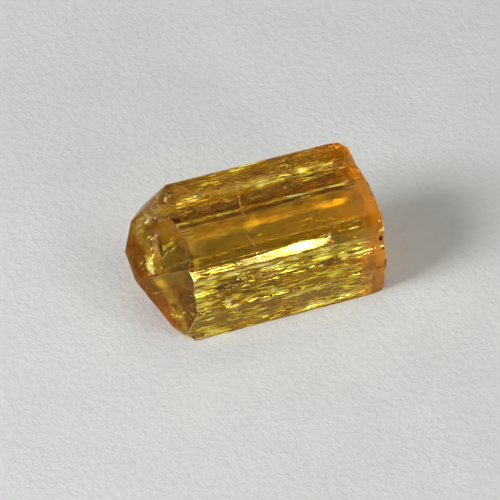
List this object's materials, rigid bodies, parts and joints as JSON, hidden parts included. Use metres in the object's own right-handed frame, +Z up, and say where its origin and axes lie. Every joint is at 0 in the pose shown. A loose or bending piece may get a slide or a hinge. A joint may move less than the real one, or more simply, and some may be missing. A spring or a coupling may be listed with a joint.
{
  "type": "topaz crystal",
  "caption": "Single orange-brown topaz crystal: striated eight-sided prism with a wedge-like pyramid at one end and a flat cleavage at the other, lying on a prism face.",
  "frame": {"origin": "centre of the crystal's box in X and Y, on the surface it lies on", "axes": "+X along the crystal's c axis towards the flat cleavage end, +Y to the back, +Z up from the face it rests on"},
  "size_m": [0.0184, 0.009, 0.0077],
  "materials": {
    "topaz": "clear natural crystal faces, finely striated along the prism, rough on the broken end"
  },
  "bodies": {
    "root": {"topaz_crystal": "topaz"}
  },
  "joints": []
}
